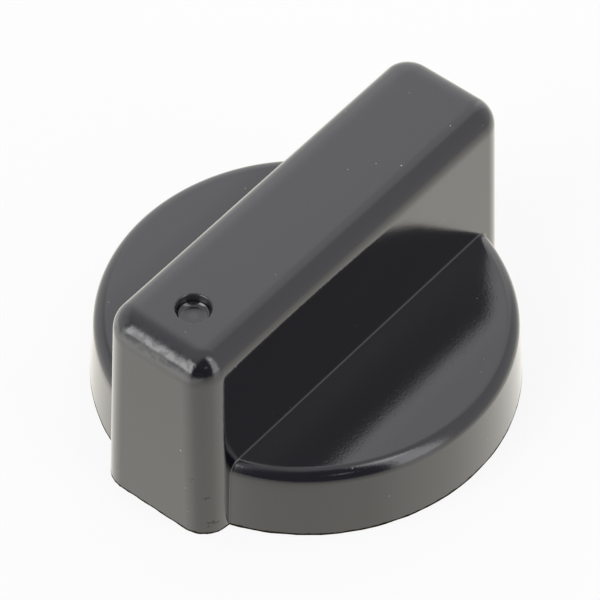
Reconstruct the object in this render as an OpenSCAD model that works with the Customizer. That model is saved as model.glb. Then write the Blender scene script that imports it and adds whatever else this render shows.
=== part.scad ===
// Stove knob: a round base with a grip bar across it, moulded in one piece, with a hollow underside,
// a hub with a D-shaped shaft socket, and a bowed leaf spring beside the flat of the socket.
// The knob stands on its rim at z = 0. The grip runs along Y and its pointer dot is at the -Y end.

/* [Base] */
// Diameter of the round base at the rim it stands on
base_d = 48; // [44:0.5:56]
// Height of the base, up to the flat step beside the grip
base_h = 9.3; // [8:0.1:13]
// Draft of the base's wall, in degrees
base_draft = 4; // [1:0.5:7]
// Radius of the rounding round the top of the base's wall
rim_r = 1.6; // [0.4:0.1:2.4]

/* [Grip] */
// Length of the grip at the rim
grip_l = 52.4; // [48:0.1:60]
// Width of the grip at the rim
grip_w = 15.7; // [14:0.1:20]
// Height of the knob
knob_h = 26.5; // [25:0.1:34]
// Draft of the grip's sides and ends, in degrees
grip_draft = 1.2; // [0:0.1:2]
// Radius of the grip's upright corners
corner_r = 3.3; // [2:0.1:5]
// Radius of the rounding round the grip's top
top_r = 3; // [1:0.1:5]

/* [Pointer dot] */
// Diameter of the sunk dot
dot_d = 3.9; // [2:0.1:5]
// Depth of the dot
dot_depth = 0.95; // [0.4:0.05:1.5]
// Distance from the grip's end at the rim to the dot's middle
dot_inset = 7.3; // [6:0.1:16]
// Radius of the dot's rounded lip
dot_lip_r = 0.2; // [0.1:0.05:0.4]
// Radius of the fillet between the dot's wall and its floor
dot_floor_r = 0.15; // [0.05:0.05:0.2]

/* [Shell] */
// Thickness of the walls, the step and the roof
wall_t = 2.2; // [2:0.1:3]
// Radius of the rounding in the corners of the hollow
core_r = 0.8; // [0.4:0.1:1.2]

/* [Hub] */
// Outer diameter of the hub
hub_d = 14; // [13:0.5:16]
// Distance from the rim up to the mouth of the hub
hub_recess = 0.8; // [0:0.1:2]
// Diameter of the tap's shaft
shaft_d = 8; // [6:0.5:8]
// Thickness of the shaft over its flat
shaft_flat = 6.5; // [5.5:0.1:6.5]
// Gap between the shaft and the socket, all round
shaft_gap = 0.05; // [0.02:0.01:0.15]
// Depth of the socket from the mouth of the hub
socket_depth = 18; // [16:0.5:21]
// Width of the chamfer round the socket's mouth
mouth_chamfer = 0.5; // [0.2:0.1:1]

/* [Ribs] */
// Thickness of the ribs between the hub and the base's wall
rib_t = 1.6; // [1:0.1:2.5]
// Distance from the rim up to the ribs
rib_recess = 2; // [1:0.1:4]

/* [Leaf spring] */
// Thickness of the spring steel
spring_t = 0.4; // [0.3:0.05:0.5]
// Width of the spring
spring_w = 4.8; // [3.5:0.1:5]
// Length of the spring along the shaft
spring_l = 13; // [10:0.5:14]
// Height of the spring's bow
spring_bow = 0.9; // [0.6:0.05:1.1]
// How far the bow stands out of the socket's flat
spring_reach = 0.25; // [0.1:0.05:0.35]
// Distance from the mouth of the hub to the spring's lower end
spring_recess = 1; // [0.6:0.1:1.5]
// Gap between the spring and its pocket
spring_gap = 0.05; // [0.03:0.01:0.2]

/* [Hidden] */
$fn = 96;
blend_fn = 48; // facets round the grip's corners
blend_steps = 10; // facets over the rounding of the grip's top
skin = 0.01; // thickness of the plates that a hull spans
past = 1; // how far a cut runs past the surface that it opens

dot_y = dot_inset - grip_l / 2;
step_under = base_h - wall_t;
socket_r = shaft_d / 2 + shaft_gap;
flat_y = shaft_flat - shaft_d / 2 + shaft_gap;
socket_top = hub_recess + socket_depth;
seat_y = flat_y + spring_t + spring_bow - spring_reach;
spring_mid_z = hub_recess + spring_recess + spring_l / 2;
spring_bend_r = (pow(spring_l / 2, 2) + pow(spring_bow, 2)) / (2 * spring_bow);

// Half outline of a round base: a drafted wall that turns into the flat top with a true arc
module base_outline(r, h, edge_r) {
  mid_z = h - edge_r;
  mid_x = r - mid_z * tan(base_draft) - edge_r / cos(base_draft);
  wall_end = [mid_x + edge_r * cos(base_draft), mid_z + edge_r * sin(base_draft)];
  polygon([[0, 0], [r, 0], wall_end, [mid_x, h], [0, h]]);
  translate([mid_x, mid_z]) circle(edge_r);
}

module base_form(r, h, edge_r) {
  rotate_extrude() base_outline(r, h, edge_r);
}

// Top of one upright corner of a grip, where the corner's radius shrinks over the top's rounding
module corner_cap(upright_r, edge_r) {
  reach = acos(max(1 - upright_r / edge_r, 0));
  arc = [for (i = [0 : blend_steps]) let (a = reach * i / blend_steps)
    [upright_r - edge_r * (1 - cos(a)), edge_r * sin(a)]];
  rotate_extrude($fn = blend_fn) polygon(concat(arc, [[0, edge_r * sin(reach)], [0, 0]]));
}

// Drafted bar with upright corners of one radius and a top edge of another
module grip_form(l, w, h, upright_r, edge_r) {
  edge_z = h - edge_r;
  lean = edge_z * tan(grip_draft);
  foot = [w / 2 - upright_r, l / 2 - upright_r];
  head = [foot.x - lean, foot.y - lean];
  plate = [for (v = head) v - max(edge_r - upright_r, 0)];
  hull() {
    for (sx = [-1, 1], sy = [-1, 1]) {
      translate([sx * foot.x, sy * foot.y, 0])
        cylinder(r = upright_r, h = skin, $fn = blend_fn);
      translate([sx * head.x, sy * head.y, edge_z])
        corner_cap(upright_r, edge_r);
    }
    translate([-plate.x, -plate.y, h - skin])
      cube([2 * plate.x, 2 * plate.y, skin]);
  }
}

module outer_form() {
  base_form(base_d / 2, base_h, rim_r);
  grip_form(grip_l, grip_w, knob_h, corner_r, top_r);
}

// The hollow underside follows the outer form at one wall's distance
module hollow() {
  translate([0, 0, -skin]) {
    base_form(base_d / 2 - wall_t, step_under + skin, core_r);
    grip_form(grip_l - 2 * wall_t, grip_w - 2 * wall_t, knob_h - wall_t + skin,
      max(corner_r - wall_t, core_r), max(top_r - wall_t, core_r));
  }
}

module hub() {
  translate([0, 0, hub_recess]) cylinder(d = hub_d, h = knob_h);
}

module ribs() {
  translate([-base_d / 2, -rib_t / 2, rib_recess]) cube([base_d, rib_t, base_h]);
}

// D-shaped socket, its chamfered mouth and the pocket of the leaf spring behind its flat
module socket() {
  intersection() {
    translate([0, 0, -past]) cylinder(r = socket_r, h = socket_top + past);
    translate([-base_d / 2, flat_y - base_d, -past]) cube([base_d, base_d, socket_top + 2 * past]);
  }
  translate([0, 0, hub_recess - skin])
    cylinder(r1 = socket_r + mouth_chamfer + skin, r2 = socket_r, h = mouth_chamfer + skin);
}

module spring_pocket() {
  pocket_w = spring_w + 2 * spring_gap;
  pocket_top = hub_recess + spring_recess + spring_l + spring_gap;
  translate([-pocket_w / 2, 0, -past])
    cube([pocket_w, seat_y + spring_gap, pocket_top + past]);
}

// Straight-sided round recess with a rounded lip and a fillet round its floor
module pointer_dot() {
  lip_x = dot_d / 2 + dot_lip_r;
  floor_x = dot_d / 2 - dot_floor_r;
  translate([0, dot_y, knob_h]) rotate_extrude() difference() {
    union() {
      translate([0, -dot_depth]) square([floor_x, dot_floor_r]);
      translate([floor_x, dot_floor_r - dot_depth]) intersection() {
        circle(dot_floor_r);
        translate([0, -dot_floor_r]) square(dot_floor_r);
      }
      translate([0, dot_floor_r - dot_depth]) square([dot_d / 2, dot_depth - dot_floor_r + past]);
      translate([0, -dot_lip_r]) square([lip_x, dot_lip_r + past]);
    }
    translate([lip_x, -dot_lip_r]) circle(dot_lip_r);
  }
}

module knob_body() {
  color("#1c1c1e") difference() {
    outer_form();
    difference() {
      hollow();
      hub();
      ribs();
    }
    socket();
    spring_pocket();
    pointer_dot();
  }
}

// Strip of spring steel bowed towards the shaft, with its ends on the floor of the pocket
module shaft_spring() {
  bend_y = seat_y + sqrt(pow(spring_bend_r, 2) - pow(spring_l / 2, 2));
  color("silver") intersection() {
    translate([-spring_w / 2, bend_y, spring_mid_z]) rotate([0, 90, 0]) difference() {
      cylinder(r = spring_bend_r + spring_t, h = spring_w);
      translate([0, 0, -past]) cylinder(r = spring_bend_r, h = spring_w + 2 * past);
    }
    translate([-spring_w, 0, spring_mid_z - spring_l / 2])
      cube([2 * spring_w, bend_y, spring_l]);
  }
}

knob_body();
shaft_spring();
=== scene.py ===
# Stove knob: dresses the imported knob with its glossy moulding, its leaf spring, a floor, light and a camera
import bpy
import math
import numpy as np
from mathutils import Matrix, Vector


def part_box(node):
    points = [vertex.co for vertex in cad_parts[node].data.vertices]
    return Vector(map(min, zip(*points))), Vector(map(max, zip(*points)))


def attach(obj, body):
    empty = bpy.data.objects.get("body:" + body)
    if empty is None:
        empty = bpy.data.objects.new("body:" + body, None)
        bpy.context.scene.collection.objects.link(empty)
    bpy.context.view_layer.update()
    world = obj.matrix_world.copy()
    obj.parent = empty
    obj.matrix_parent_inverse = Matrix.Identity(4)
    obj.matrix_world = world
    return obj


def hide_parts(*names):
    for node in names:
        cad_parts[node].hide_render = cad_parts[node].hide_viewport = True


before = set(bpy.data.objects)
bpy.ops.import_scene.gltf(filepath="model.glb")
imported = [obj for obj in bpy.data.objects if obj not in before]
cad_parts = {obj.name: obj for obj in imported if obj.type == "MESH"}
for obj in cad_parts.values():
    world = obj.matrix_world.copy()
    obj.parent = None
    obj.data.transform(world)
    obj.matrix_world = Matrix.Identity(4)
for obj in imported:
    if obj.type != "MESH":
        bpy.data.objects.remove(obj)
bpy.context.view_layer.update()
mm = 0.001  # every shape below is worked out in millimetres and stored in metres
bodyHigh = [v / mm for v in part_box("knob_body")[1]]

# Outer form of the moulding, in millimetres and degrees
knob = {
    "baseRadius": bodyHigh[0],  # rim that the knob stands on
    "baseHeight": 9.3,  # flat step beside the grip
    "baseDraft": 4.0,
    "rimRadius": 1.6,
    "gripLength": 2 * bodyHigh[1],
    "gripWidth": 15.7,
    "height": bodyHigh[2],
    "endDraft": 1.2,
    "sideDraft": 1.5,
    "cornerRadius": 3.3,
    "topRadius": 3.3,  # reach of the top edge's rounding at the ends, which starts more gently than an arc
    "topSides": 3.0,  # the same along the sides
    "topPower": 2.4,  # an arc has 2
    "cornerTop": 0.3,  # radius of the upright corner where it meets the flat top
    "crease": 0.15,  # fillet where the grip leaves the base
}
# Sunk pointer dot, in millimetres
dot = {
    "endDistance": 7.3,  # from the grip's end at the rim to the dot's middle
    "radius": 1.95,
    "depth": 1.25,
    "lip": 0.2,
    "floorRadius": 0.5,  # height of the wide fillet round the floor
    "floorReach": 0.62,  # its width
    "taper": 0.08,  # how far the wall leans in down to that fillet
}
# Hollow underside, in millimetres
shell = {
    "wall": 2.2,
    "coreRadius": 0.8,
    "hubDiameter": 14.0,
    "hubRecess": 0.8,
    "socketRadius": 4.05,
    "flatY": 2.55,
    "socketTop": 18.8,
    "mouthChamfer": 0.5,
    "ribThickness": 1.6,
    "ribRecess": 2.0,
    "pocketWidth": 4.9,
    "pocketY": 3.65,
    "pocketTop": 14.85,
    "coreCornerTop": 0.05,  # radius of the hollow's upright corner where it meets its flat roof
    "coreSkin": 0.2,  # deeper than this and the dishes, a surface counts as the unpolished core side
    "past": 1.0,  # how far a cut runs past the surface that it opens
    "arcSteps": 8,
    "turnSteps": 10,
    "baseSegments": 256,
    "hubSegments": 192,
    "socketPoints": 120,
}
# Shallow dishes that shrinking left in the flat walls, and the ragged foot, in millimetres
sink = {
    "step": 0.125,  # depth of the dish in the flat step
    "stepMiddle": 12.0,  # distance of its lowest line from the grip's middle plane
    "stepHalf": 7.0,  # half its width
    "side": 0.09,  # depth of the dish in each side of the grip
    "sideMiddle": 15.8,  # height of its lowest line
    "sideHalf": 7.0,  # half its height
    "sideReach": 24.0,  # distance along the grip at which the side's dish has faded out
    "ragged": 0.11,  # most that the foot's edge is torn back
    "seed": 5,
}
dotY = dot["endDistance"] - knob["gripLength"] / 2


def dish(distance, half):
    # one at the middle of a dish and zero past its half width, along a cosine
    return 0.5 + 0.5 * np.cos(math.pi * np.clip(distance / half, -1, 1))


def gripDistance(p):
    # signed distance to the drafted bar: the distance to its leaning, slightly dished planes, rounded round
    # its upright corners by a circle that shrinks upwards, then joined to the flat top by a rounding in which
    # the two distances, each raised to a power, add up to the edge's reach raised to that power
    x, y, z = np.abs(p[..., 0]), np.abs(p[..., 1]), p[..., 2]
    sideDraft, endDraft = math.radians(knob["sideDraft"]), math.radians(knob["endDraft"])
    hollow = sink["side"] * dish(z - sink["sideMiddle"], sink["sideHalf"]) * dish(y, sink["sideReach"])
    outX = x - (knob["gripWidth"] / 2 - math.tan(sideDraft) * z) + hollow
    outY = y - (knob["gripLength"] / 2 - math.tan(endDraft) * z)
    corner, top = knob["cornerRadius"], knob["topRadius"]
    shrink = (corner - knob["cornerTop"]) / top  # the corner's radius lost per millimetre of depth
    rest = 1 - shrink
    # depth under the corner's circle, from the quadratic a * depth^2 + 2 * b * depth + c = 0
    a = 2 * rest * rest - shrink * shrink
    b = rest * (outX + outY + 2 * corner) + shrink * corner
    c = (outX + corner) ** 2 + (outY + corner) ** 2 - corner * corner
    depth = -c / (b + np.sqrt(np.maximum(b * b - a * c, 0)))
    reach = corner + rest * depth
    inCorner = (outX + reach > 0) & (outY + reach > 0)
    towardsEnd = np.maximum(outY + reach, 0) ** 2
    endward = towardsEnd / (towardsEnd + np.maximum(outX + reach, 1e-6) ** 2)
    edge = knob["topSides"] + (top - knob["topSides"]) * endward
    side = np.where(inCorner, -depth, np.maximum(outX, outY)) * math.cos(endDraft) + edge
    above = z - knob["height"] + edge
    power = knob["topPower"]
    turned = (np.maximum(side, 0) ** power + np.maximum(above, 0) ** power) ** (1 / power)
    return turned + np.minimum(np.maximum(side, above), 0) - edge


def baseDistance(p):
    # signed distance to the drafted disc: a leaning wall and a dished flat top joined by an arc
    r, z = np.hypot(p[..., 0], p[..., 1]), p[..., 2]
    draft, rim = math.radians(knob["baseDraft"]), knob["rimRadius"]
    midZ = knob["baseHeight"] - rim
    midR = knob["baseRadius"] - midZ * math.tan(draft) - rim / math.cos(draft)
    hollow = sink["step"] * dish(np.abs(p[..., 0]) - sink["stepMiddle"], sink["stepHalf"])
    outR, outZ = r - midR, z - midZ + hollow
    wall = outR * math.cos(draft) + outZ * math.sin(draft)
    inArc = (outR > 0) & (outZ * math.cos(draft) - outR * math.sin(draft) > 0)
    return np.where(inArc, np.hypot(outR, outZ), np.maximum(wall, outZ)) - rim


def outerDistance(p):
    # both forms joined, with a small fillet in the crease between them
    a, b, r = gripDistance(p), baseDistance(p), knob["crease"]
    return np.maximum(r, np.minimum(a, b)) - np.hypot(np.maximum(r - a, 0), np.maximum(r - b, 0))


def outerSlope(p, step=1e-4):
    # gradient of the outer distance by central differences
    slope = np.empty_like(p)
    for axis in range(3):
        shift = np.zeros(3)
        shift[axis] = step
        slope[..., axis] = (outerDistance(p + shift) - outerDistance(p - shift)) / (2 * step)
    return slope


def slideOnto(p, moving, flatFoot, rounds=8, leastSlope=0.05):
    # Newton steps along the slope until the points lie on the outer form; the foot stays in its plane
    q = p[moving]
    foot = flatFoot[moving]
    for _ in range(rounds):
        slope = outerSlope(q)
        slope[foot, 2] = 0
        size = np.maximum((slope ** 2).sum(-1), leastSlope)
        q = q - slope * (outerDistance(q) / size)[:, None]
    p[moving] = q
    return p


def makeMesh(name, points, faces):
    # millimetres in, metres stored
    mesh = bpy.data.meshes.new(name)
    mesh.from_pydata((points * mm).tolist(), [], faces)
    mesh.update()
    return mesh


def makeObject(name, mesh):
    made = bpy.data.objects.new(name, mesh)
    bpy.context.scene.collection.objects.link(made)
    return made


def gridFaces(index, closed):
    # quads between neighbouring rows and columns; a quad with a doubled corner becomes a triangle
    right = np.roll(index, -1, axis=1) if closed else index[:, 1:]
    left = index if closed else index[:, :-1]
    quads = np.stack([left[:-1], right[:-1], right[1:], left[1:]], axis=-1).reshape(-1, 4)
    same = quads == np.roll(quads, 1, axis=1)
    doubled = same.any(axis=1)
    triangles = quads[doubled][~same[doubled]].reshape(-1, 3)
    return quads[~doubled].tolist() + triangles.tolist()


def mirrorRound(x, y):
    # a quarter outline from the +X axis to the +Y axis, carried round all four quarters
    backX, backY = x[:, :0:-1], y[:, :0:-1]
    return (np.concatenate([x[:, :-1], -backX, -x[:, :-1], backX], axis=1),
            np.concatenate([y[:, :-1], backY, -y[:, :-1], -backY], axis=1))


# Spacing of the columns and rows, closer together where the form turns: fractions of a stretch, numbers of
# steps, and for aboveStep and wallRows heights in millimetres
spacing = {
    "roundSteps": 22,  # over the first part of the base's quarter circle
    "beforeCrease": [.66, .69, .72, .75, .785, .82, .845, .87, .89, .91, .926, .942, .954, .966, .976,
                     .985, .9905, .9935, .9955, .997, .9982, .9992, 1],
    "afterCrease": [.03, .065, .105, .15, .2, .26, .33, .42, .53, .66, .82, 1],
    "cornerSteps": 20,
    "endSteps": 9,
    "aboveStep": [0, .015, .035, .06, .09, .125, .165, .22, .3, .45, .75, 1.3, 2.2, 3.6, 5.4, 7.6, 10, 12.2],
    "topSteps": 14,
    "rimSteps": 12,
    "wallRows": [0, .1, .25, .5, 1, 1.8, 2.9, 4.2, 5.6, 6.8],
    "platform": [0, .04, .08, .13, .2, .3, .4, .5, .58, .67, .75, .82, .87, .91, .935, .955, .968, .978,
                 .985, .99, .994, .997, 1],
    "roofRows": [.25, .5, .75, .92],
    "lipSteps": 6,
    "floorSteps": 12,
    "floorRows": [.75, .45, .2, .05],
}


def creaseY(z, radius):
    # distance along Y at which the grip's side plane leaves a circle of the base
    halfWidth = knob["gripWidth"] / 2 - math.tan(math.radians(knob["sideDraft"])) * z
    return np.sqrt(radius ** 2 - halfWidth ** 2)


def buildOuter():
    # Outer skin as three woven grids: the grip from the step up over its top into the dot, the band
    # round the whole foot up to the step, and the two flat steps between the base's circle and the grip
    late = spacing["beforeCrease"]
    before = np.concatenate([np.linspace(0, late[0], spacing["roundSteps"], endpoint=False), late])
    after = np.array(spacing["afterCrease"])
    turn = np.linspace(0, math.pi / 2, spacing["cornerSteps"] + 1)[1:]
    end = 1 - np.linspace(0, 1, spacing["endSteps"] + 1)[1:]
    sideLean = math.tan(math.radians(knob["sideDraft"]))
    endLean = math.tan(math.radians(knob["endDraft"]))
    cosDraft = math.cos(math.radians(knob["endDraft"]))
    shrink = (knob["cornerRadius"] - knob["cornerTop"]) / knob["topRadius"]
    step = knob["baseHeight"]
    baseLean = math.tan(math.radians(knob["baseDraft"]))
    midZ = step - knob["rimRadius"]
    rimAcross = knob["rimRadius"] / math.cos(math.radians(knob["baseDraft"]))
    midR = knob["baseRadius"] - midZ * baseLean - rimAcross

    def gripQuarter(z, depth, creaseAt, onCircle=None):
        # one row per height: side up to the crease, side past it, upright corner, half of the end
        z, depth = np.asarray(z)[:, None], np.asarray(depth)[:, None]
        halfW = knob["gripWidth"] / 2 - sideLean * z - depth
        halfL = knob["gripLength"] / 2 - endLean * z - depth
        r = knob["cornerRadius"] - shrink * depth
        creaseAt = np.asarray(creaseAt)[:, None]
        if onCircle is None:
            sideX, sideY = halfW + 0 * before, creaseAt * before
        else:
            circle, angle = np.asarray(onCircle)[:, None], np.arctan2(creaseAt, halfW) * before
            sideX, sideY = circle * np.cos(angle), circle * np.sin(angle)
        x = [sideX, halfW + 0 * after, halfW - r + r * np.cos(turn), (halfW - r) * end]
        y = [sideY, creaseAt + (halfL - r - creaseAt) * after,
             halfL - r + r * np.sin(turn), halfL + 0 * end]
        return mirrorRound(np.concatenate(x, axis=1), np.concatenate(y, axis=1))

    # Grip: straight rows from the step up, then the top's rounding
    arc = np.linspace(0, math.pi / 2, spacing["topSteps"] + 1)
    rows = np.array(spacing["aboveStep"]) + step
    z = np.concatenate([rows, knob["height"] - knob["topRadius"] * (1 - np.sin(arc))])
    depth = np.concatenate([0 * rows, knob["topRadius"] * (1 - np.cos(arc)) / cosDraft])
    creaseTop = creaseY(step, midR)
    gx, gy = gripQuarter(z, depth, creaseTop + 0 * z)
    gz = z[:, None] + 0 * gx
    # Dot: every column runs straight over its lip and down its wall to its middle, halfway between its own
    # direction and an even spread, so that none of them meet
    edgeX, edgeY = gx[-1], gy[-1]
    aim = np.unwrap(np.arctan2(edgeY - dotY, edgeX)) / 2 + math.pi * np.arange(edgeX.size) / edgeX.size
    lipStep = np.linspace(math.pi / 2, 0, spacing["lipSteps"] + 1)
    floorStep = np.linspace(0, math.pi / 2, spacing["floorSteps"] + 1)
    lipR = dot["radius"] + dot["lip"]
    footR = dot["radius"] - dot["taper"]
    floorZ = knob["height"] - dot["depth"]
    dotR = np.concatenate([lipR - dot["lip"] * np.cos(lipStep),
                           footR - dot["floorReach"] * (1 - np.cos(floorStep)),
                           (footR - dot["floorReach"]) * np.array(spacing["floorRows"])])
    dotZ = np.concatenate([knob["height"] - dot["lip"] * (1 - np.sin(lipStep)),
                           floorZ + dot["floorRadius"] * (1 - np.sin(floorStep)),
                           floorZ + 0 * np.array(spacing["floorRows"])])
    circleX, circleY = np.cos(aim), np.sin(aim)
    roof = np.array(spacing["roofRows"])[:, None]
    roofX = edgeX * (1 - roof) + lipR * circleX * roof
    roofY = edgeY * (1 - roof) + (dotY + lipR * circleY) * roof
    gx = np.concatenate([gx, roofX, dotR[:, None] * circleX])
    gy = np.concatenate([gy, roofY, dotY + dotR[:, None] * circleY])
    gz = np.concatenate([gz, knob["height"] + 0 * roofX, dotZ[:, None] + 0 * dotR[:, None] * circleX])
    bendRows = len(z)

    # Foot band: wall rows, then the rim's rounding up to the step
    rimArc = np.linspace(math.radians(knob["baseDraft"]), math.pi / 2, spacing["rimSteps"] + 1)
    wallZ = np.array(spacing["wallRows"])
    bandZ = np.concatenate([wallZ, midZ + knob["rimRadius"] * np.sin(rimArc)])
    bandR = np.concatenate([knob["baseRadius"] - baseLean * wallZ,
                            midR + knob["rimRadius"] * np.cos(rimArc)])
    bx, by = gripQuarter(bandZ, 0 * bandZ, creaseY(bandZ, bandR), bandR)
    bz = bandZ[:, None] + 0 * bx

    # Numbering: the band's last row is the grip's first one past the creases
    columns = gx.shape[1]
    quarter = columns // 4
    nearSide = len(before) - 1  # columns from the +X axis to the crease
    ring = np.arange(columns)
    fromX = np.minimum(ring % (2 * quarter), 2 * quarter - ring % (2 * quarter))
    onStep = fromX < nearSide
    gripIndex = np.arange(gx.size).reshape(gx.shape)
    bandIndex = gx.size + np.arange(bx.size).reshape(bx.shape)
    bandIndex[-1, ~onStep] = gripIndex[0, ~onStep]
    points = [np.stack([gx, gy, gz], -1).reshape(-1, 3), np.stack([bx, by, bz], -1).reshape(-1, 3)]
    faces = gridFaces(gripIndex, True) + gridFaces(bandIndex, True)
    count = gx.size + bx.size

    # Steps: straight lines from the base's circle to the grip's foot
    share = np.array(spacing["platform"])[1:-1, None]
    for middle in (0, 2 * quarter):
        across = (middle + np.arange(-nearSide, nearSide + 1)) % columns
        outerX, outerY = bx[-1, across], by[-1, across]
        innerX, innerY = gx[0, across], gy[0, across]
        px, py = outerX * (1 - share) + innerX * share, outerY * (1 - share) + innerY * share
        index = count + np.arange(px.size).reshape(px.shape)
        index[:, [0, -1]] = gripIndex[0, across[[0, -1]]]
        index = np.concatenate([bandIndex[-1:, across], index, gripIndex[:1, across]])
        points.append(np.stack([px, py, step + 0 * px], -1).reshape(-1, 3))
        faces += gridFaces(index, False)
        count += px.size
    points = np.concatenate(points)
    faces.append(gripIndex[-1].tolist())
    faces.append(bandIndex[0, ::-1].tolist())

    # Only what lies outside the flat roof and the dot is slid onto the rounded form
    moving = np.ones(count, bool)
    moving[gripIndex[bendRows - 1:].ravel()] = False
    foot = np.zeros(count, bool)
    foot[bandIndex[0]] = True
    points = slideOnto(points, moving, foot)

    # Ragged foot: each point of the lowest loop is drawn back at random along the form's outward way
    edge = bandIndex[0]
    footTearAndShade = np.random.default_rng(sink["seed"]).uniform(0, 1, columns) ** 2 * sink["ragged"]
    footTearAndShade = (footTearAndShade + np.roll(footTearAndShade, 1)) / 2
    outward = outerSlope(points[edge])[:, :2]
    points[edge, :2] -= outward / np.linalg.norm(outward, axis=1)[:, None] * footTearAndShade[:, None]
    # Points that no face uses are dropped
    used, packed = np.unique(np.concatenate([np.ravel(f) for f in faces]), return_inverse=True)
    ends = np.cumsum([len(f) for f in faces])[:-1]
    return points[used], [f.tolist() for f in np.split(packed, ends)]


def latheSolid(name, profile, segments=shell["hubSegments"]):
    # closed solid of a profile of (radius, height) turned round the Z axis, with flat ends
    profile = np.array(profile, float)
    angle = np.linspace(0, 2 * math.pi, segments, endpoint=False)
    x, y = profile[:, :1] * np.cos(angle), profile[:, :1] * np.sin(angle)
    return stackSolid(name, x, y, profile[:, 1:] + 0 * x)


def stackSolid(name, x, y, z):
    # closed solid of loops stacked upwards, each running anticlockwise, with flat ends
    index = np.arange(x.size).reshape(x.shape)
    faces = gridFaces(index, True) + [index[0, ::-1].tolist(), index[-1].tolist()]
    return makeObject(name, makeMesh(name, np.stack([x, y, z], -1).reshape(-1, 3), faces))


def block(name, low, high):
    # straight-sided tool between two corners
    x = np.array([[low[0], high[0], high[0], low[0]]] * 2, float)
    y = np.array([[low[1], low[1], high[1], high[1]]] * 2, float)
    return stackSolid(name, x, y, np.array([[low[2]] * 4, [high[2]] * 4], float))


def hollowBase():
    # the base's own form at one wall's distance: a leaning wall joined to a flat roof by an arc
    r, rounding = knob["baseRadius"] - shell["wall"], shell["coreRadius"]
    draft = math.radians(knob["baseDraft"])
    roof = knob["baseHeight"] - shell["wall"]
    midZ = roof - rounding
    midR = r - midZ * math.tan(draft) - rounding / math.cos(draft)
    arc = np.linspace(draft, math.pi / 2, shell["arcSteps"] + 1)
    rows = [(r + shell["past"] * math.tan(draft), -shell["past"])]
    rows += list(zip(midR + rounding * np.cos(arc), midZ + rounding * np.sin(arc)))
    return latheSolid("hollowBase", rows, shell["baseSegments"])


def hollowGrip():
    # the grip's own form at one wall's distance: leaning planes, upright corners that shrink over the arc
    # that joins them to the flat roof
    sideLean = math.tan(math.radians(knob["sideDraft"]))
    endLean = math.tan(math.radians(knob["endDraft"]))
    rounding = shell["coreRadius"]
    corner = max(knob["cornerRadius"] - shell["wall"], rounding)
    roof = knob["height"] - shell["wall"]
    arc = np.linspace(0, math.pi / 2, shell["arcSteps"] + 1)
    z = np.concatenate([[-shell["past"]], roof - rounding * (1 - np.sin(arc))])[:, None]
    depth = np.concatenate([[0], rounding * (1 - np.cos(arc))])[:, None]
    turn = np.linspace(0, math.pi / 2, shell["turnSteps"] + 1)
    halfW = knob["gripWidth"] / 2 - shell["wall"] - sideLean * z - depth
    halfL = knob["gripLength"] / 2 - shell["wall"] - endLean * z - depth
    r = corner - depth * (corner - shell["coreCornerTop"]) / rounding
    x, y = mirrorRound(np.concatenate([halfW, halfW - r + r * np.cos(turn), 0 * halfW], axis=1),
                       np.concatenate([0 * halfL, halfL - r + r * np.sin(turn), halfL], axis=1))
    return stackSolid("hollowGrip", x, y, z + 0 * x)


def socketCut():
    # D-shaped: an arc of the shaft's circle closed by its flat
    r, flat = shell["socketRadius"], shell["flatY"]
    half = math.asin(flat / r)
    angle = np.linspace(math.pi - half, 2 * math.pi + half, shell["socketPoints"])
    x, y = np.array([r * np.cos(angle)] * 2), np.array([r * np.sin(angle)] * 2)
    z = np.array([[-shell["past"]], [shell["socketTop"]]]) + 0 * x
    return stackSolid("socketCut", x, y, z)


def cutWith(body, cutter, operation="DIFFERENCE"):
    # takes the cutter out of the body, or joins it to it, and clears the cutter away
    tool = body.modifiers.new(cutter.name, "BOOLEAN")
    tool.operation, tool.solver, tool.object = operation, "MANIFOLD", cutter
    solid = bpy.data.meshes.new_from_object(body.evaluated_get(bpy.context.evaluated_depsgraph_get()))
    body.modifiers.clear()
    body.data = solid
    bpy.data.objects.remove(cutter)


def hollowOut(body):
    # both hollows joined, less the hub and the ribs, come out of the body; then the socket, its chamfered
    # mouth and the spring's pocket
    past, recess = shell["past"], shell["hubRecess"]
    core = hollowBase()
    cutWith(core, hollowGrip(), "UNION")
    hubR = shell["hubDiameter"] / 2
    cutWith(core, latheSolid("hub", [(hubR, recess), (hubR, knob["height"] + past)]))
    half = shell["ribThickness"] / 2
    cutWith(core, block("ribs", (-knob["baseRadius"], -half, shell["ribRecess"]),
                        (knob["baseRadius"], half, knob["baseHeight"] + past)))
    cutWith(body, core)
    cutWith(body, socketCut())
    mouthR, chamfer = shell["socketRadius"], shell["mouthChamfer"]
    mouth = [(mouthR + 2 * chamfer, recess - chamfer), (mouthR, recess + chamfer)]
    cutWith(body, latheSolid("mouth", mouth))
    pocket = shell["pocketWidth"] / 2
    cutWith(body, block("pocket", (-pocket, 0, -past), (pocket, shell["pocketY"], shell["pocketTop"])))


# Shading of the moulding's corners
shading = {
    "sharpAngle": 28,  # degrees past which an edge stays sharp
    "onForm": 0.002,  # millimetres from the outer form within which a corner takes its true normal
    "agree": 0.5,  # least cosine between that normal and the face's own
    "belowDot": 0.1,  # millimetres under the dot's floor that still belong to the dot
}


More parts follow.
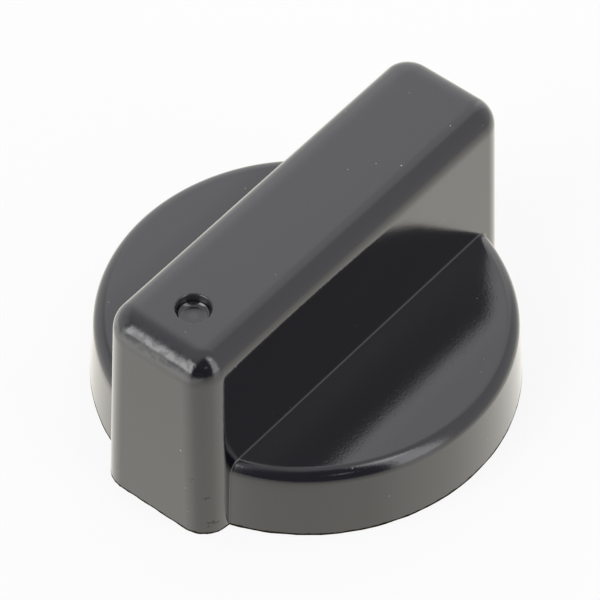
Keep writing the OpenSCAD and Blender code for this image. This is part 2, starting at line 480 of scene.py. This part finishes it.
def smoothOuter(body):
    # true normals of the outer form where a corner lies on it, automatic ones elsewhere; an attribute is one
    # on the core side
    mesh = body.data
    mesh.polygons.foreach_set("use_smooth", np.ones(len(mesh.polygons), bool))
    mesh.set_sharp_from_angle(angle=math.radians(shading["sharpAngle"]))
    spots = np.empty(len(mesh.vertices) * 3)
    mesh.vertices.foreach_get("co", spots)
    spots = spots.reshape(-1, 3) / mm
    corner = np.empty(len(mesh.loops), int)
    mesh.loops.foreach_get("vertex_index", corner)
    faceNormal = np.empty(len(mesh.polygons) * 3)
    mesh.polygons.foreach_get("normal", faceNormal)
    sizes = np.empty(len(mesh.polygons), int)
    mesh.polygons.foreach_get("loop_total", sizes)
    perCorner = np.repeat(faceNormal.reshape(-1, 3), sizes, axis=0)
    slope = outerSlope(spots)
    slope /= np.maximum(np.linalg.norm(slope, axis=1), 1e-9)[:, None]
    away = outerDistance(spots)
    near = np.abs(away) < shading["onForm"]
    x, y, z = spots.T
    inDot = np.hypot(x, y - dotY) < dot["radius"] + dot["lip"]
    inDot &= z > knob["height"] - dot["depth"] - shading["belowDot"]
    cored = (away < -sink["step"] - shell["coreSkin"]) & ~inDot
    mesh.attributes.new("inside", "FLOAT", "POINT").data.foreach_set("value", cored.astype(np.float32))
    own = slope[corner]
    fits = near[corner] & ((own * perCorner).sum(1) > shading["agree"])
    mesh.normals_split_custom_set(np.where(fits[:, None], own, 0).tolist())


print("moulding: outer skin")
outerPoints, outerFaces = buildOuter()
moulding = makeObject("knob_moulding", makeMesh("knob_moulding", outerPoints, outerFaces))
print("moulding: hollow underside")
hollowOut(moulding)
smoothOuter(moulding)
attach(moulding, "root")
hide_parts("knob_body")


class Wire:
    # a shader socket that takes part in Python expressions
    def __init__(self, tree, socket):
        self.tree, self.socket = tree, socket

    def math(self, operation, first, second):
        return addNode(self.tree, "ShaderNodeMath", {"operation": operation}, {0: first, 1: second})

    def __add__(self, other):
        return self.math("ADD", self, other)

    def __radd__(self, other):
        return self.math("ADD", other, self)

    def __sub__(self, other):
        return self.math("SUBTRACT", self, other)

    def __rsub__(self, other):
        return self.math("SUBTRACT", other, self)

    def __mul__(self, other):
        return self.math("MULTIPLY", self, other)

    def __rmul__(self, other):
        return self.math("MULTIPLY", other, self)

    def clamp(self):
        return addNode(self.tree, "ShaderNodeClamp", {}, {"Value": self})

    def ramp(self, start, full):
        # zero at the start and one where it is full, along a straight line
        return ((self - start) * (1 / (full - start))).clamp()


def addNode(tree, kind, settings=None, inputs=None, output=0):
    # settings first, then socket values or links; gives back the wanted output as a wire
    node = tree.nodes.new(kind)
    for name, value in (settings or {}).items():
        setattr(node, name, value)
    for name, value in (inputs or {}).items():
        if isinstance(value, Wire):
            tree.links.new(value.socket, node.inputs[name])
        else:
            node.inputs[name].default_value = value
    return Wire(tree, node.outputs[output]) if node.outputs else None


def addMix(tree, factor, first, second):
    # a colour between two others
    return addNode(tree, "ShaderNodeMix", {"data_type": "RGBA"}, {0: factor, 6: first, 7: second}, 2)


def newMaterial(name):
    # an empty node material and its tree
    made = bpy.data.materials.new(name)
    made.use_nodes = True
    made.node_tree.nodes.clear()
    return made, made.node_tree


def wear(obj, material):
    obj.data.materials.clear()
    obj.data.materials.append(material)


# Glossy black moulding, sizes in millimetres
plastic = {
    "colour": (0.0004, 0.0003, 0.0032, 1),
    "ior": 1.53,
    "roughness": 0.06,
    "coatRoughness": 0.15,
    "peelSize": 0.25,  # orange peel
    "peelHeight": 0.0135,
    "waveSize": 3.0,
    "waveHeight": 0.007,
    "insideRoughness": 0.42,  # the core side isn't polished
    "insideBare": 0.6,  # share of the clear layer that it lacks
}
dust = {
    "colour": (0.42, 0.42, 0.39, 1),
    "spacing": 2.3,
    "size": 0.07,
    "edge": 1 / 30,
    "placed": [(4.1, 11.0, 26.5, 0.10), (4.52, 19.0, 26.5, 0.09), (6.61, 22.04, 25.43, 0.09),
               (7.51, 9.5, 15.8, 0.11), (7.51, 7.93, 16.02, 0.12), (13.2, 13.5, 9.25, 0.10),
               (3.91, -25.94, 12.6, 0.10)],  # the clearest specks, with their sizes
}
scuffs = {
    "colour": (0.012, 0.012, 0.011, 1),
    "grain": 0.5,
    "cover": 0.62,  # how much of a spot's middle is scuffed
    "contrast": 9,
    "depth": 0.02,
    "roughness": 0.4,
    "bare": 0.7,
    "placed": [(7.1, -24.8, 1.9, 2.6), (6.7, -25.1, 6.0, 1.6), (5.3, -25.9, 8.6, 1.5)],  # spots, reaches
}
pinMarkAndPaintedLight = {
    "colour": (0.030, 0.030, 0.034, 1),  # the dot's wall, painted lighter: painted light in its dark recess; its dullness was left by a pin whose side wasn't polished
    "roughness": 0.25,
    "bare": 0.6,
    "inner": 0.04,  # distance from the wall that is wholly dull
    "outer": 0.12,  # distance at which the dullness has gone
    "ring": [0.6, 0.8, 1.33, 1.67],  # a duller ring in the floor: starts, is full, fades, has gone
    "ringRoughness": 0.3,
}
worn = {
    "grain": 0.8,  # blotches on the front edge of the top
    "fromY": -23.6,
    "fromZ": 24.0,
    "threshold": 0.45,
    "contrast": 6,
    "share": 0.6,
}
# Painted contact shade: a dark line along the foot
paintedFootShade = {
    "colour": (0.022, 0.018, 0.008, 1),
    "height": 0.34,
    "grain": 0.9,
    "contrast": 14,
}


def blackPlastic():
    material, tree = newMaterial("glossy_black_plastic")
    place = addNode(tree, "ShaderNodeTexCoord", output="Object")

    def grain(size, detail=0.0):
        return addNode(tree, "ShaderNodeTexNoise", {}, {
            "Vector": place, "Scale": 1 / (size * mm), "Detail": detail})

    def farFrom(spot, start=place):
        # distance from a spot in millimetres
        spot = tuple(v * mm for v in spot)
        away = addNode(tree, "ShaderNodeVectorMath", {"operation": "DISTANCE"},
                       {0: start, 1: spot}, "Value")
        return away * (1 / mm)

    def along(axis):
        return addNode(tree, "ShaderNodeSeparateXYZ", {}, {"Vector": place}, axis) * (1 / mm)

    # Dust: scattered specks at the cells' points, and the clearest ones in their places
    cells = addNode(tree, "ShaderNodeTexVoronoi", {}, {
        "Vector": place, "Scale": 1 / (dust["spacing"] * mm)}, "Distance")
    specks = (dust["size"] - cells * dust["spacing"]).clamp()
    for *spot, size in dust["placed"]:
        specks = specks + (size - farFrom(spot)).clamp()
    specks = specks.ramp(0, dust["edge"])

    # Scuffs at the front corner's foot: grain that shows only round the spots
    spots = [(1 - farFrom(spot) * (1 / reach)).clamp() for *spot, reach in scuffs["placed"]]
    rubbed = grain(scuffs["grain"], 4.0) - 1
    for spot in spots:
        rubbed = rubbed + spot * scuffs["cover"]
    rubbed = (rubbed * scuffs["contrast"]).clamp()

    # Painted contact shade: a dark brown line along the foot, of uneven height
    footShadeTop = (grain(paintedFootShade["grain"], 2.0) + 0.5) * paintedFootShade["height"]
    footTearAndShade = ((footShadeTop - along("Z")) * paintedFootShade["contrast"]).clamp()

    # Dull wall of the dot, painted lighter as painted light in the recess, and a duller ring in its floor
    plan = addNode(tree, "ShaderNodeVectorMath", {"operation": "MULTIPLY"}, {0: place, 1: (1, 1, 0)})
    inward = dot["radius"] - farFrom((0, dotY, 0), plan)
    outer, inner = pinMarkAndPaintedLight["outer"], pinMarkAndPaintedLight["inner"]
    pinWallAndPaintedLight = inward.ramp(-outer, -inner) * inward.ramp(outer, inner)
    starts, full, fades, gone = pinMarkAndPaintedLight["ring"]
    ring = inward.ramp(starts, full) * inward.ramp(gone, fades)

    # Worn blotches on the front edge of the top
    front = (worn["fromY"] - along("Y")).clamp() * (along("Z") - worn["fromZ"]).clamp()
    patches = ((grain(worn["grain"], 1.0) - worn["threshold"]) * worn["contrast"]).clamp()
    blotch = patches * front * worn["share"]

    inside = addNode(tree, "ShaderNodeAttribute", {"attribute_name": "inside"}, output="Fac")
    height = (grain(plastic["peelSize"], 1.0) * (plastic["peelHeight"] * mm)
              + grain(plastic["waveSize"]) * (plastic["waveHeight"] * mm) - rubbed * (scuffs["depth"] * mm))
    bump = addNode(tree, "ShaderNodeBump", {}, {"Strength": 1.0, "Distance": 1.0, "Height": height})
    colour = addMix(tree, rubbed, plastic["colour"], scuffs["colour"])
    colour = addMix(tree, pinWallAndPaintedLight, colour, pinMarkAndPaintedLight["colour"])
    colour = addMix(tree, specks, colour, dust["colour"])
    bare = (specks + blotch + rubbed * scuffs["bare"] + inside * plastic["insideBare"]
            + pinWallAndPaintedLight * pinMarkAndPaintedLight["bare"])
    rough = (plastic["roughness"] + inside * plastic["insideRoughness"] + rubbed * scuffs["roughness"]
             + pinWallAndPaintedLight * pinMarkAndPaintedLight["roughness"] + ring * pinMarkAndPaintedLight["ringRoughness"])
    shader = addNode(tree, "ShaderNodeBsdfPrincipled", {}, {
        "Base Color": colour, "IOR": plastic["ior"], "Normal": bump, "Roughness": rough.clamp(),
        "Coat Weight": 1 - bare.clamp(), "Coat Roughness": plastic["coatRoughness"],
        "Coat IOR": plastic["ior"]})
    footShadeSurface = addNode(tree, "ShaderNodeBsdfDiffuse", {}, {"Color": paintedFootShade["colour"]})
    both = addNode(tree, "ShaderNodeMixShader", {}, {0: footTearAndShade, 1: shader, 2: footShadeSurface})
    addNode(tree, "ShaderNodeOutputMaterial", {}, {"Surface": both})
    return material


# Bare rolled spring strip, sizes in millimetres
steel = {
    "colour": (0.56, 0.56, 0.57, 1),
    "roughness": 0.24,
    "roughnessSpread": 0.16,
    "streakWidth": 0.1111,
    "streakLength": 2.857,  # along the strip, the way it was rolled
    "streakHeight": 0.004,
    "streakStrength": 0.25,
}


def springSteel():
    material, tree = newMaterial("rolled_spring_steel")
    place = addNode(tree, "ShaderNodeTexCoord", output="Object")
    across, lengthways = (1 / (steel[k] * mm) for k in ("streakWidth", "streakLength"))
    rolled = addNode(tree, "ShaderNodeMapping", {}, {"Vector": place, "Scale": (across, across, lengthways)})
    streak = addNode(tree, "ShaderNodeTexNoise", {}, {"Vector": rolled, "Scale": 1.0, "Detail": 3.0})
    bump = addNode(tree, "ShaderNodeBump", {}, {
        "Strength": steel["streakStrength"], "Distance": steel["streakHeight"] * mm, "Height": streak})
    spread = steel["roughnessSpread"]
    shader = addNode(tree, "ShaderNodeBsdfPrincipled", {}, {
        "Base Color": steel["colour"], "Metallic": 1.0, "Normal": bump,
        "Roughness": streak * spread + (steel["roughness"] - spread / 2)})
    addNode(tree, "ShaderNodeOutputMaterial", {}, {"Surface": shader})
    return material


print("materials")
wear(moulding, blackPlastic())
wear(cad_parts["shaft_spring"], springSteel())

# Plain pale floor
ground = {
    "size": 3.0,  # metres
    "colour": (0.86, 0.86, 0.85, 1),
    "white": 0.88,  # how far the camera sees plain white instead of the shaded floor
    "mirrored": (1.0, 0.98, 0.90, 1),  # the floor as the gloss shows it
    "lampSide": (1.55, 1.53, 1.46, 1),  # the same, further out under the lamp: a painted pool of light
    "lampAzimuth": -118,
    "lampNear": 42,  # millimetres from the knob's middle to where that glow starts
    "lampFar": 76,
    "sheenIor": 1.6,
    "sheenRoughness": 0.25,
}


def buildFloor():
    # pale and matt where the knob is lit by it and shadows it; nearly white to the camera; and to the gloss
    # a white with a painted pool of light towards the lamp, under a faint sheen
    half = ground["size"] / 2 / mm
    corners = np.array([[-half, -half, 0], [half, -half, 0], [half, half, 0], [-half, half, 0]])
    floor = makeObject("floor", makeMesh("floor", corners, [[0, 1, 2, 3]]))
    material, tree = newMaterial("pale_floor")
    path = addNode(tree, "ShaderNodeLightPath", output="Is Camera Ray")
    glossy = addNode(tree, "ShaderNodeLightPath", output="Is Glossy Ray")
    through = addNode(tree, "ShaderNodeLightPath", output="Is Transmission Ray")
    matt = addNode(tree, "ShaderNodeBsdfDiffuse", {}, {"Color": ground["colour"]})
    white = addNode(tree, "ShaderNodeEmission", {}, {"Color": (1, 1, 1, 1)})
    spot = addNode(tree, "ShaderNodeTexCoord", output="Object")
    toLamp = math.radians(ground["lampAzimuth"])
    reach = addNode(tree, "ShaderNodeVectorMath", {"operation": "DOT_PRODUCT"},
                    {0: spot, 1: (math.cos(toLamp), math.sin(toLamp), 0)}, "Value")
    glow = addNode(tree, "ShaderNodeMapRange", {"interpolation_type": "SMOOTHSTEP"}, {
        "Value": reach, "From Min": ground["lampNear"] * mm, "From Max": ground["lampFar"] * mm})
    mirrored = addNode(tree, "ShaderNodeEmission", {}, {
        "Color": addMix(tree, glow, ground["mirrored"], ground["lampSide"])})
    sheen = addNode(tree, "ShaderNodeBsdfGlossy", {}, {"Roughness": ground["sheenRoughness"]})
    fresnel = addNode(tree, "ShaderNodeFresnel", {}, {"IOR": ground["sheenIor"]})
    table = addNode(tree, "ShaderNodeMixShader", {}, {0: fresnel, 1: mirrored, 2: sheen})
    lifted = addNode(tree, "ShaderNodeMixShader", {}, {0: path * ground["white"], 1: matt, 2: white})
    both = addNode(tree, "ShaderNodeMixShader", {}, {0: (glossy + through).clamp(), 1: lifted, 2: table})
    addNode(tree, "ShaderNodeOutputMaterial", {}, {"Surface": both})
    wear(floor, material)


# Studio light: soft-edged panels laid over one another in the sky, each a colour and its edges.
# An edge is (azimuth, tilt, offset, softness): a direction lies inside the panel where its share along
# the way that azimuth and tilt point to, in degrees, is more than the offset.
sideWall = (0.735, 0.730, 0.757)  # the room behind all the panels
studio = {
    "leftWall": ((0.955, 0.952, 0.962), [(182, 0, 0, 0.12)]),
    "softbox": ((1.03, 1.03, 1.04), [
        (182, 0, 0, 0.12), (64, 0, 0, 0.25), (0, 90, 0.16, 0.24), (0, -90, -0.86, 0.04)]),
    "softboxHeart": ((1.25, 1.25, 1.29), [
        (205, 0, 0, 0.25), (180, 0, 0.405, 0.07), (60, 0, 0, 0.25), (0, 90, 0.40, 0.2),
        (0, -90, -0.79, 0.06)]),
    "ceiling": ((0.69, 0.69, 0.72), [(0, 90, 0.88, 0.1)]),
    "leftCorner": ((0.69, 0.695, 0.72), [(250, 0, -0.05, 0.5), (0, 90, 0.66, 0.2)]),
    "softboxFrame": ((1.53, 1.52, 1.56), [(192, 0, 0, 0.06), (13, 0, -0.04, 0.12), (0, -90, -0.60, 0.2)]),
    "window": ((2.10, 2.07, 2.15), [
        (76, 0, 0, 0.14), (-86, 0, -0.185, 0.16), (20, 0, 0.14, 0.1), (0, 90, 0.05, 0.13)]),
    "windowTop": ((3.5, 3.5, 3.4), [
        (86, 0, 0.09, 0.08), (-61, 0, 0, 0.12), (0, -90, -0.955, 0.03), (0, 90, 0.89, 0.1)]),
    "tableGlow": ((1.60, 1.60, 1.58), [(-175, 0, 0, 0.1), (-51, 0, 0, 0.3), (0, -90, -0.30, 0.15)]),
    "lampPanel": ((3.7, 3.7, 3.73), [
        (-176, 0, 0, 0.06), (-36, 0, 0, 0.2), (0, -90, -0.85, 0.08), (0, 90, 0.19, 0.2)]),
    "darkCurtain": ((0.160, 0.157, 0.178), [(-101, 3.8, 0, 0.14), (4, 0, 0.025, 0.25)]),
    "glint": ((1.1, 1.1, 1.13), [(-33, 44, 0.9975, 0.004)]),
}


def buildStudio():
    world = bpy.data.worlds.new("studio")
    bpy.context.scene.world = world
    world.use_nodes = True
    tree = world.node_tree
    tree.nodes.clear()
    way = addNode(tree, "ShaderNodeTexCoord", output="Generated")

    def inward(azimuth, tilt, offset, soft):
        # zero outside an edge and one inside it, along a smooth step
        az, up = math.radians(azimuth), math.radians(tilt)
        axis = (math.cos(az) * math.cos(up), math.sin(az) * math.cos(up), math.sin(up))
        along = addNode(tree, "ShaderNodeVectorMath", {"operation": "DOT_PRODUCT"},
                        {0: way, 1: axis}, "Value")
        return addNode(tree, "ShaderNodeMapRange", {"interpolation_type": "SMOOTHSTEP"}, {
            "Value": along, "From Min": offset - soft / 2, "From Max": offset + soft / 2})

    light = (*sideWall, 1)
    for colour, edges in studio.values():
        mask = inward(*edges[0])
        for edge in edges[1:]:
            mask = mask * inward(*edge)
        light = addMix(tree, mask, light, (*colour, 1))
    seen = addNode(tree, "ShaderNodeLightPath", output="Is Camera Ray")
    back = addNode(tree, "ShaderNodeBackground", {}, {"Color": addMix(tree, seen, light, (1, 1, 1, 1))})
    addNode(tree, "ShaderNodeOutputWorld", {}, {"Surface": back})


# Camera at the photo's viewing angle, in degrees and millimetres
view = {
    "azimuth": 39.053,
    "elevation": 48.852,
    "roll": 0.398,
    "distance": 560.73,
    "pictureWidth": 600,  # pixels
    "focalPixels": 5124.447,
    "sensorWidth": 36,
    "aimRight": -0.724,
    "aimUp": 0.370,
    "aimHeight": 0.4,  # share of the knob's height
}


def placeCamera():
    # on a ray from the aim, turned so that the picture's axes are rolled from the level ones
    az, el, roll = (math.radians(view[k]) for k in ("azimuth", "elevation", "roll"))
    back = np.array([math.sin(az) * math.cos(el), -math.cos(az) * math.cos(el), math.sin(el)])
    level = np.cross([0, 0, 1], back)
    level /= np.linalg.norm(level)
    upright = np.cross(back, level)
    right = math.cos(roll) * level + math.sin(roll) * upright
    up = math.cos(roll) * upright - math.sin(roll) * level
    aim = view["aimRight"] * level + view["aimUp"] * upright
    aim[2] += view["aimHeight"] * knob["height"]
    spot = (aim + view["distance"] * back) * mm
    lens = bpy.data.cameras.new("camera")
    lens.sensor_width = view["sensorWidth"]
    lens.lens = view["focalPixels"] * view["sensorWidth"] / view["pictureWidth"]
    lens.clip_start, lens.clip_end = 0.01, 100
    camera = bpy.data.objects.new("camera", lens)
    bpy.context.scene.collection.objects.link(camera)
    turned = np.eye(4)
    turned[:3, 0], turned[:3, 1], turned[:3, 2], turned[:3, 3] = right, up, back, spot
    camera.matrix_world = turned.T
    bpy.context.scene.camera = camera


print("floor, light and camera")
buildFloor()
buildStudio()
placeCamera()
bpy.context.scene.view_settings.view_transform = "Standard"
